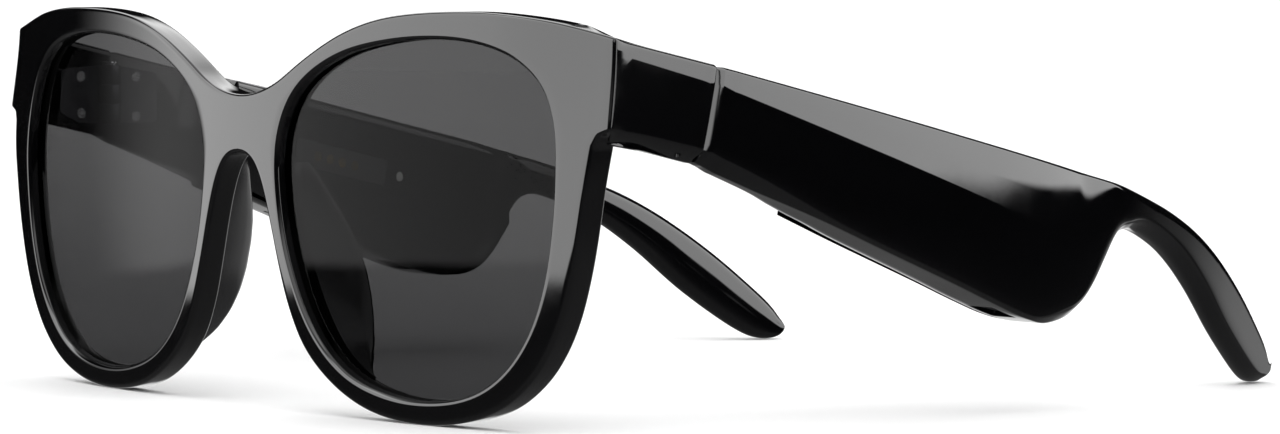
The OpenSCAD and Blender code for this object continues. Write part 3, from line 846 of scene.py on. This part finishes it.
def to_button(V):
    """button frame (x, length, height) to the temple frame."""
    V = np.asarray(V, float)
    c, s = math.cos(math.radians(-7.7)), math.sin(math.radians(-7.7))
    return np.stack([V[:, 0] + 68.0, V[:, 1] * c - V[:, 2] * s + 46.0, V[:, 1] * s + V[:, 2] * c - 17.5], -1)


def carve(ob, side, parts, sharp=32):
    """takes the closed prisms out of ob; the rims of the openings stay crisp."""
    V, F = [], []
    for (v, f) in parts:
        o = len(V)
        V += [tuple(p) for p in v]
        F += [tuple(i + o for i in q) for q in f]
    W = t2f(np.array(V))
    if side < 0:
        W[:, 0] *= -1
    tool = make_obj("tool", row(W), F, ob.data.materials[0])
    m = ob.modifiers.new("carve", "BOOLEAN")
    m.operation, m.solver, m.object = "DIFFERENCE", "EXACT", tool
    dg = bpy.context.evaluated_depsgraph_get()
    me = bpy.data.meshes.new_from_object(ob.evaluated_get(dg))
    ob.modifiers.clear()
    ob.data = me
    bm = bmesh.new()
    bm.from_mesh(me)
    bmesh.ops.remove_doubles(bm, verts=bm.verts, dist=2e-7)
    lim = math.radians(sharp)
    for f in bm.faces:
        f.smooth = True
    for e in bm.edges:
        if len(e.link_faces) == 2:
            e.smooth = e.calc_face_angle(0.0) < lim
    bm.to_mesh(me)
    bm.free()
    bpy.data.objects.remove(tool)
    return ob


def disc(x, u, r, n=24):
    return [(x + r * math.cos(2 * math.pi * q / n), u + r * math.sin(2 * math.pi * q / n)) for q in range(n)]


def build_button(mat):
    rings = [(0.0, 0.9), (0.0, -0.3), (0.03, -0.42), (0.1, -0.52), (0.2, -0.58), (0.34, -0.6), (0.75, -0.58), (1.0, -0.52), (1.2, -0.49)]
    V, F = [], []
    n = len(pill_outline(9, 3.2))
    for ins, h in rings:
        for a, b in pill_outline(9 - 2 * ins, 3.2 - 2 * ins):
            V.append((a, b, h))
    for k in range(len(rings) - 1):
        for j in range(n):
            j2 = (j + 1) % n
            F.append((k * n + j, k * n + j2, (k + 1) * n + j2, (k + 1) * n + j))
    F.append(tuple(range(n))[::-1])
    F.append(tuple((len(rings) - 1) * n + j for j in range(n)))
    W = t2f(to_button(V))
    W[:, 0] *= -1
    return make_obj("function_button_skin", row(W), F, mat, sharp=40)


# ------------------------------------------------------------------ materials
def new_mat(name):
    m = bpy.data.materials.new(name)
    m.use_nodes = True
    nt = m.node_tree
    nt.nodes.clear()
    out = nt.nodes.new("ShaderNodeOutputMaterial")
    p = nt.nodes.new("ShaderNodeBsdfPrincipled")
    nt.links.new(p.outputs[0], out.inputs[0])
    tc = nt.nodes.new("ShaderNodeTexCoord")
    return m, nt, p, tc


def noise(nt, vec, scale, detail=3.0, rough=0.5, stretch=None):
    if stretch:
        mp = nt.nodes.new("ShaderNodeMapping")
        mp.inputs["Scale"].default_value = stretch
        nt.links.new(vec, mp.inputs["Vector"])
        vec = mp.outputs[0]
    n = nt.nodes.new("ShaderNodeTexNoise")
    n.inputs["Scale"].default_value = scale
    n.inputs["Detail"].default_value = detail
    n.inputs["Roughness"].default_value = rough
    nt.links.new(vec, n.inputs["Vector"])
    return n.outputs["Fac"]


def span(nt, fac, lo, hi, a=0.3, b=0.7):
    r = nt.nodes.new("ShaderNodeMapRange")
    r.inputs["From Min"].default_value, r.inputs["From Max"].default_value = a, b
    r.inputs["To Min"].default_value, r.inputs["To Max"].default_value = lo, hi
    nt.links.new(fac, r.inputs["Value"])
    return r.outputs[0]


def two_tone(nt, fac, c1, c2, a=0.3, b=0.7):
    r = nt.nodes.new("ShaderNodeValToRGB")
    r.color_ramp.elements[0].position, r.color_ramp.elements[1].position = a, b
    r.color_ramp.elements[0].color = (*c1, 1)
    r.color_ramp.elements[1].color = (*c2, 1)
    nt.links.new(fac, r.inputs[0])
    return r.outputs[0]


def bump(nt, p, height, dist, strength=1.0):
    b = nt.nodes.new("ShaderNodeBump")
    b.inputs["Distance"].default_value = dist
    b.inputs["Strength"].default_value = strength
    nt.links.new(height, b.inputs["Height"])
    nt.links.new(b.outputs[0], p.inputs["Normal"])


def gloss(name, c1, c2, r1=0.03, r2=0.06, ior=1.5, peel=0.0000012):
    """polished moulded nylon: deep colour, faint flow variation, a trace of orange peel and of handling."""
    m, nt, p, tc = new_mat(name)
    flow = noise(nt, tc.outputs["Object"], 38, 4, 0.55, stretch=(1.0, 0.45, 1.0))
    nt.links.new(two_tone(nt, flow, c1, c2), p.inputs["Base Color"])
    haze = noise(nt, tc.outputs["Object"], 210, 5, 0.6)
    nt.links.new(span(nt, haze, r1, r2), p.inputs["Roughness"])
    bump(nt, p, noise(nt, tc.outputs["Object"], 420, 2, 0.4), peel)
    p.inputs["IOR"].default_value = ior
    return m


def satin(name, c1, c2, r1=0.38, r2=0.55, grain=2600, depth=0.000012, metallic=0.0):
    m, nt, p, tc = new_mat(name)
    nt.links.new(two_tone(nt, noise(nt, tc.outputs["Object"], 320, 4), c1, c2), p.inputs["Base Color"])
    g = noise(nt, tc.outputs["Object"], grain, 3)
    nt.links.new(span(nt, g, r1, r2), p.inputs["Roughness"])
    bump(nt, p, g, depth, 0.6)
    p.inputs["Metallic"].default_value = metallic
    return m


def metal(name, c1, c2, r1=0.18, r2=0.34, stretch=(1.0, 1.0, 9.0), scale=900):
    """turned or pressed metal with fine tool marks."""
    m, nt, p, tc = new_mat(name)
    nt.links.new(two_tone(nt, noise(nt, tc.outputs["Object"], 500, 4), c1, c2), p.inputs["Base Color"])
    g = noise(nt, tc.outputs["Object"], scale, 4, 0.6, stretch=stretch)
    nt.links.new(span(nt, g, r1, r2), p.inputs["Roughness"])
    bump(nt, p, g, 0.000008, 0.5)
    p.inputs["Metallic"].default_value = 1.0
    return m


def woven(name):
    """painted wire cloth of the acoustic openings."""
    m, nt, p, tc = new_mat(name)
    h = []
    for axis in ("X", "Y"):
        w = nt.nodes.new("ShaderNodeTexWave")
        w.wave_type, w.bands_direction = "BANDS", axis
        w.inputs["Scale"].default_value = 1500
        w.inputs["Distortion"].default_value = 0.4
        nt.links.new(tc.outputs["Object"], w.inputs["Vector"])
        h.append(w.outputs["Fac"])
    mx = nt.nodes.new("ShaderNodeMath")
    mx.operation = "MAXIMUM"
    nt.links.new(h[0], mx.inputs[0])
    nt.links.new(h[1], mx.inputs[1])
    nt.links.new(two_tone(nt, mx.outputs[0], (0.006, 0.006, 0.007), (0.03, 0.03, 0.033)), p.inputs["Base Color"])
    nt.links.new(span(nt, mx.outputs[0], 0.5, 0.32, 0.0, 1.0), p.inputs["Roughness"])
    bump(nt, p, mx.outputs[0], 0.00003)
    p.inputs["Metallic"].default_value = 0.4
    return m


def lens_mat(name, z_lo, z_hi, c_lo, c_hi):
    """tinted lens: neutral grey, lighter towards the brow; its anti-reflection coat is a low index."""
    m, nt, p, tc = new_mat(name)
    sep = nt.nodes.new("ShaderNodeSeparateXYZ")
    nt.links.new(tc.outputs["Object"], sep.inputs[0])
    mr = nt.nodes.new("ShaderNodeMapRange")
    mr.interpolation_type = "SMOOTHSTEP"
    mr.inputs["From Min"].default_value, mr.inputs["From Max"].default_value = z_lo, z_hi
    nt.links.new(sep.outputs["Z"], mr.inputs["Value"])
    fine = noise(nt, tc.outputs["Object"], 30, 2)
    ad = nt.nodes.new("ShaderNodeMath")
    ad.operation = "ADD"
    nt.links.new(mr.outputs[0], ad.inputs[0])
    nt.links.new(span(nt, fine, -0.02, 0.02), ad.inputs[1])
    nt.links.new(two_tone(nt, ad.outputs[0], c_lo, c_hi, 0.0, 1.0), p.inputs["Base Color"])
    nt.links.new(span(nt, noise(nt, tc.outputs["Object"], 60, 2), 0.004, 0.016), p.inputs["Roughness"])
    p.inputs["Transmission Weight"].default_value = 1.0
    p.inputs["IOR"].default_value = 1.12
    return m


def board_mat(name):
    m, nt, p, tc = new_mat(name)
    v = nt.nodes.new("ShaderNodeTexVoronoi")
    v.feature = "DISTANCE_TO_EDGE"
    v.inputs["Scale"].default_value = 700
    nt.links.new(tc.outputs["Object"], v.inputs["Vector"])
    nt.links.new(two_tone(nt, v.outputs["Distance"], (0.03, 0.16, 0.07), (0.008, 0.06, 0.022), 0.02, 0.09), p.inputs["Base Color"])
    bump(nt, p, v.outputs["Distance"], 0.00002)
    p.inputs["Roughness"].default_value = 0.35
    return m


black = gloss("gloss_black_front", (0.0012, 0.0012, 0.0014), (0.0022, 0.0022, 0.0025))
black_t = gloss("gloss_black_temple", (0.0008, 0.0008, 0.001), (0.0016, 0.0016, 0.0019))
black_c = gloss("gloss_black_cover", (0.0016, 0.0016, 0.0018), (0.003, 0.003, 0.0034), 0.045, 0.09)
pad_m = gloss("nose_pad_black", (0.004, 0.004, 0.0045), (0.008, 0.008, 0.0088), 0.12, 0.2, peel=0.000002)
button_m = gloss("button_black", (0.006, 0.006, 0.0066), (0.011, 0.011, 0.012), 0.16, 0.26, peel=0.000003)
lens_m = lens_mat("tinted_lens", 0.008, 0.050, (0.037, 0.037, 0.038), (0.075, 0.075, 0.076))
plated = metal("black_plated_hinge", (0.035, 0.035, 0.038), (0.075, 0.075, 0.08), 0.3, 0.44)
steel = metal("steel_screw", (0.42, 0.42, 0.43), (0.6, 0.6, 0.61), 0.2, 0.36)
gold = metal("gold_contact", (0.78, 0.55, 0.2), (0.9, 0.68, 0.3), 0.14, 0.24)
magnet = metal("nickel_magnet", (0.5, 0.49, 0.47), (0.66, 0.65, 0.62), 0.16, 0.3)
can = metal("mic_can_metal", (0.5, 0.47, 0.38), (0.66, 0.63, 0.52), 0.22, 0.36)
switch_m = metal("switch_metal", (0.42, 0.42, 0.44), (0.58, 0.58, 0.6), 0.2, 0.36)
flex_m = satin("flex_polyimide", (0.42, 0.17, 0.025), (0.58, 0.27, 0.06), 0.22, 0.34, 1500, 0.000006)
driver_m = satin("driver_black", (0.03, 0.03, 0.033), (0.055, 0.055, 0.06))
cone_m = satin("diaphragm_film", (0.012, 0.012, 0.014), (0.03, 0.03, 0.034), 0.2, 0.4)
mesh_m = woven("acoustic_mesh")
cell_m = satin("pouch_foil", (0.45, 0.45, 0.47), (0.66, 0.66, 0.68), 0.3, 0.46, 1800, 0.00002, 0.8)
board_m = board_mat("solder_mask")
trim_m = satin("port_trim", (0.011, 0.011, 0.012), (0.022, 0.022, 0.024), 0.3, 0.44)
light_m = satin("light_pipe", (0.62, 0.62, 0.6), (0.82, 0.82, 0.79), 0.18, 0.3, 1800, 0.000006)

# ------------------------------------------------------------------ pieces
front = build_front(black)
carve(front, 1, [prism(rounded_rect(67.5, 68.1, -8.35, -6.65, 0.2), SEAM_U - 3.0, SEAM_U + 0.6, "u"),
                 prism(disc(69.0, 17.6, 0.45), -14.2, -12.7, "v")], 34)
carve(front, -1, [prism(rounded_rect(67.5, 68.1, -8.35, -6.65, 0.2), SEAM_U - 3.0, SEAM_U + 0.6, "u"),
                  prism(disc(69.0, 17.6, 0.45), -14.2, -12.7, "v")], 34)
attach(front, "front")
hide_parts("front_frame")

for s, nm in ((1, "left"), (-1, "right")):
    body = "temple_" + nm
    lens = build_lens(s, lens_m)
    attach(lens, "front")
    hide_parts("lens_" + nm)
    pad = build_pad(s, pad_m)
    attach(pad, "front")
    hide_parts("nose_pad_" + nm)
    shell = build_temple(s, "shell", black_t)
    cuts = [prism(rounded_rect(65.4, 70.0, 82.4, 87.8, 0.35), -24.6, -19.4, "v"),
            prism(rounded_rect(66.2, 68.2, 84.0, 92.0, 0.3), -3.0, 1.0, "v"),
            prism(rounded_rect(67.5, 68.1, -8.35, -6.65, 0.2), SEAM_U - 0.6, SEAM_U + 3.4, "u")]
    if s < 0:
        hv, hf = prism(pill_outline(9.3, 3.5), -3.0, 1.45, "v")
        cuts.append((to_button(hv), hf))
        cuts.append(prism(disc(69.4, 33.6, 0.5), -18.6, -14.6, "v"))
        cuts.append(prism(disc(69.4, 58.0, 0.5), -21.8, -17.8, "v"))
    carve(shell, s, cuts)
    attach(shell, body)
    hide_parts("temple_shell_" + nm)
    cover = build_temple(s, "cover", black_c)
    if s < 0:
        carve(cover, s, [prism(rounded_rect(53.4, 74.6, -11.2, -6.8, 0.15), 59.0, 63.2, "x"),
                         prism(disc(77.6, -9.0, 0.8), 59.0, 63.2, "x")])
    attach(cover, body)
    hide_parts("temple_cover_" + nm)

button = build_button(button_m)
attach(button, "button")
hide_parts("function_button")


def dress(node, mat, width=0.0):
    """a carried-over CAD node: procedural finish and, where it shows, softened edges."""
    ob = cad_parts[node]
    if len(ob.material_slots):
        for sl in ob.material_slots:
            sl.material = mat
    else:
        ob.data.materials.append(mat)
    if width:
        wd = ob.modifiers.new("weld", "WELD")
        wd.merge_threshold = 1e-6
        bv = ob.modifiers.new("soft_edges", "BEVEL")
        bv.width, bv.segments, bv.limit_method = width, 2, "ANGLE"
        bv.angle_limit = math.radians(35)
        bv.harden_normals = False


for nm in ("left", "right"):
    dress("hinge_front_" + nm, plated, 0.00012)
    dress("hinge_temple_" + nm, plated, 0.00012)
    dress("hinge_pin_" + nm, steel, 0.00008)
    dress("temple_screws_" + nm, steel, 0.00006)
    dress("speaker_" + nm, driver_m)
    dress("diaphragm_" + nm, cone_m)
    dress("speaker_grille_" + nm, mesh_m)
    dress("vent_mesh_" + nm, mesh_m)
    dress("battery_" + nm, cell_m)
    dress("temple_flex_" + nm, flex_m)
dress("front_screws", steel, 0.00006)
dress("front_flex", flex_m)
dress("main_board", board_m)
dress("charge_contacts", gold, 0.0001)
dress("charge_carrier", trim_m, 0.00012)
dress("charge_magnets", magnet)
dress("mic_meshes", mesh_m)
dress("microphones", can)
dress("status_light", light_m, 0.0001)
dress("tact_switch", switch_m)

# ------------------------------------------------------------------ floor, light, camera
def floor_mat():
    m, nt, p, tc = new_mat("studio_floor")
    nt.links.new(two_tone(nt, noise(nt, tc.outputs["Object"], 3, 5), (0.86, 0.86, 0.86), (0.9, 0.9, 0.9)), p.inputs["Base Color"])
    p.inputs["Roughness"].default_value = 0.9
    bump(nt, p, noise(nt, tc.outputs["Object"], 160, 3), 0.0002, 0.3)
    return m


me = bpy.data.meshes.new("studio_floor")
R_, n_ = 4.0, 96
fv = [(0, 0, 0)] + [(R_ * math.cos(2 * math.pi * q / n_), R_ * math.sin(2 * math.pi * q / n_), 0) for q in range(n_)]
me.from_pydata(fv, [], [(0, 1 + q, 1 + (q + 1) % n_) for q in range(n_)])
floor = bpy.data.objects.new("studio_floor", me)
bpy.context.scene.collection.objects.link(floor)
me.materials.append(floor_mat())
floor.visible_glossy = False


def build_world():
    """white cove for the camera and for soft light; what polished surfaces mirror is a dark room with soft boxes."""
    w = bpy.data.worlds.new("studio")
    bpy.context.scene.world = w
    w.use_nodes = True
    nt = w.node_tree
    nt.nodes.clear()
    L = nt.links.new

    def val(v):
        n = nt.nodes.new("ShaderNodeValue")
        n.outputs[0].default_value = v
        return n.outputs[0]

    def M(op, a, b=None, c=None):
        n = nt.nodes.new("ShaderNodeMath")
        n.operation = op
        for k, q in enumerate((a, b, c)):
            if q is None:
                continue
            if isinstance(q, (int, float)):
                n.inputs[k].default_value = q
            else:
                L(q, n.inputs[k])
        return n.outputs[0]

    def ramp(x, lo, hi):
        n = nt.nodes.new("ShaderNodeMapRange")
        n.interpolation_type = "SMOOTHSTEP"
        n.inputs["From Min"].default_value, n.inputs["From Max"].default_value = lo, hi
        L(x, n.inputs["Value"])
        return n.outputs[0]

    tc = nt.nodes.new("ShaderNodeTexCoord")
    sp = nt.nodes.new("ShaderNodeSeparateXYZ")
    L(tc.outputs["Generated"], sp.inputs[0])
    x, y, z = sp.outputs
    el = M("MULTIPLY", M("ARCSINE", z), 57.29578)
    az = M("MULTIPLY", M("ARCTAN2", x, M("MULTIPLY", y, -1.0)), 57.29578)

    def panel(a0, a1, e0, e1, power, soft_a=2.0, soft_e=1.0, slant=0.0, pivot=0.0):
        e = M("ADD", el, M("MULTIPLY", M("MAXIMUM", M("SUBTRACT", az, pivot), 0.0), slant)) if slant else el
        f = M("MULTIPLY", ramp(az, a0 - soft_a, a0 + soft_a), M("SUBTRACT", 1.0, ramp(az, a1 - soft_a, a1 + soft_a)))
        g = M("MULTIPLY", ramp(e, e0 - soft_e, e0 + soft_e), M("SUBTRACT", 1.0, ramp(el, e1 - 4, e1 + 4)))
        return M("MULTIPLY", M("MULTIPLY", f, g), power)

    room = M("ADD", M("MULTIPLY", ramp(el, 38, 62), 1.6), M("MULTIPLY", M("SUBTRACT", 1.0, ramp(el, -24, -3)), 0.17))
    room = M("ADD", room, 0.006)
    for args in PANELS:
        room = M("ADD", room, panel(*args))
    lp = nt.nodes.new("ShaderNodeLightPath")
    mirror = M("MULTIPLY", lp.outputs["Is Glossy Ray"], lp.outputs["Is Reflection Ray"])
    bg = nt.nodes.new("ShaderNodeBackground")
    mixed = M("ADD", M("MULTIPLY", mirror, room), M("MULTIPLY", M("SUBTRACT", 1.0, mirror), WHITE))
    L(mixed, bg.inputs["Strength"])
    bg.inputs["Color"].default_value = (1.0, 1.0, 1.0, 1)
    out = nt.nodes.new("ShaderNodeOutputWorld")
    L(bg.outputs[0], out.inputs[0])


WHITE = 1.16
# azimuths run from -Y (the front) towards +X; degrees
PANELS = [(-64, 6, -7, 60, 4.6, 8.0, 0.4),
          (104, 162, 4.5, 60, 4.6, 1.2, 0.6),
          (85, 100, -1.1, 60, 4.2, 3.0, 0.7),
          (-150, -100, 25, 60, 3.0, 8.0, 6.0),
          (25, 60, 14, 60, 2.2, 8.0, 6.0),
          (-190, -104, -21, -3, 0.95, 8.0, 4.0),
          (166, 190, -21, -3, 0.95, 6.0, 4.0)]
build_world()

key = bpy.data.lights.new("key", "AREA")
key.shape, key.size, key.size_y, key.energy = "RECTANGLE", 1.6, 1.2, 9
ko = bpy.data.objects.new("key", key)
ko.location = (0.2, -0.3, 1.4)
ko.rotation_euler = (math.radians(-8), math.radians(6), 0)
ko.visible_camera = False
ko.visible_glossy = False
bpy.context.scene.collection.objects.link(ko)

cam = bpy.data.cameras.new("photo_camera")
cam.lens, cam.sensor_width, cam.sensor_fit = 122.354, 36.0, "HORIZONTAL"
cam.shift_x, cam.shift_y = 0.0003, -0.0023
cam.clip_start, cam.clip_end = 0.01, 50
co = bpy.data.objects.new("photo_camera", cam)
co.location = (0.49244, -0.45894, 0.05553)
co.rotation_euler = (math.radians(87.4787), math.radians(-0.7997), math.radians(47.2391))
bpy.context.scene.collection.objects.link(co)
bpy.context.scene.camera = co
bpy.context.scene.view_settings.view_transform = "Standard"
bpy.context.scene.view_settings.look = "None"
bpy.context.scene.view_settings.exposure = 0.0
bpy.context.scene.view_settings.gamma = 1.0
